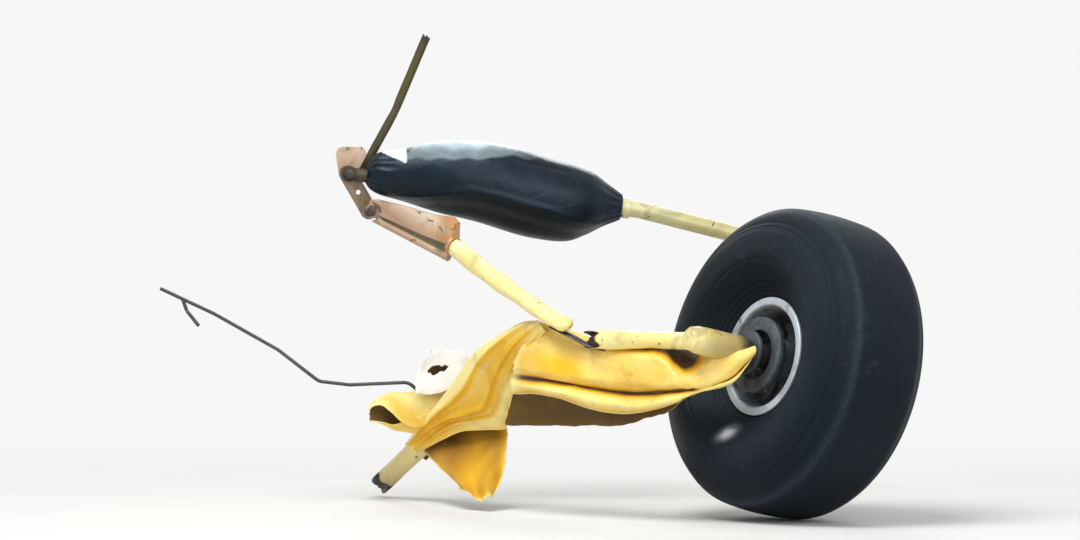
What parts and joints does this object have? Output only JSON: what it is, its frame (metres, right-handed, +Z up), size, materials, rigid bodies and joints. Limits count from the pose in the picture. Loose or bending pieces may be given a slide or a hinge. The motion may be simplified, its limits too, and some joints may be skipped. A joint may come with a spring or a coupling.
{
  "type": "torn-off main landing gear of a light high-wing aircraft",
  "caption": "Wrecked light-aircraft main landing gear: smooth fat tyre on a split wheel, buckled vee leg with torn cloth, padded shock strut, broken cabane tube and bent brake pipe.",
  "frame": {"origin": "on the floor, under the middle of the part's box", "axes": "+Z up from the floor, +X the way the wheel rolls, +Y the level direction outboard of the wheel"},
  "size_m": [1.1729, 0.859, 0.7745],
  "materials": {
    "tyre_rubber": "worn matt rubber, dusty on the side wall",
    "wheel_alloy": "cast alloy, dull, bright on the flange lip",
    "brake_steel": "turned steel with light rust",
    "fastener_steel": "plated steel, dulled",
    "axle_steel": "dark oiled steel",
    "yellow_paint": "old gloss yellow paint over steel, scratched",
    "primer_paint": "peach and tan primer, rubbed",
    "bracket_paint": "dark brown paint with rust",
    "cabane_paint": "olive brown paint with rust",
    "pipe_metal": "dark grey dull pipe",
    "boot_vinyl": "black coated cloth with a soft sheen",
    "yellow_fabric": "doped yellow aircraft cloth, torn",
    "white_fabric": "bare white back of the cloth"
  },
  "bodies": {
    "root": {"axle": "axle_steel", "axle_nut": "fastener_steel", "torque_plate": "brake_steel", "brake_caliper": "wheel_alloy", "axle_socket": "yellow_paint", "vee_front_tube": "yellow_paint", "vee_rear_tube": "yellow_paint", "cabane_bracket": "primer_paint", "cabane_bolt": "bracket_paint", "hinge_bolt": "bracket_paint", "strut_upper_tube": "fastener_steel", "strut_lower_tube": "yellow_paint", "strut_fork": "yellow_paint", "shock_boot": "boot_vinyl", "boot_collar_lower": "bracket_paint", "cabane_tube": "cabane_paint", "leg_end_fitting": "primer_paint", "fitting_rod": "primer_paint", "fabric_skin": "yellow_fabric", "fabric_band": "yellow_fabric", "fabric_flap": "yellow_fabric", "white_scrap": "white_fabric", "rolled_end": "yellow_fabric", "pipe_clip": "fastener_steel", "brake_pipe": "pipe_metal", "pipe_hook": "pipe_metal"},
    "wheel": {"tyre": "tyre_rubber", "wheel_half_inboard": "wheel_alloy", "wheel_half_outboard": "wheel_alloy", "wheel_bolts": "fastener_steel", "bearing_inboard": "axle_steel", "bearing_outboard": "axle_steel", "brake_disc": "brake_steel"}
  },
  "joints": [
    {"name": "wheel_spin", "type": "hinge", "parent": "root", "child": "wheel", "pos_m": [0.339, 0.1825, 0.25021], "axis": [0, 0.9744, -0.225], "continuous": true}
  ]
}
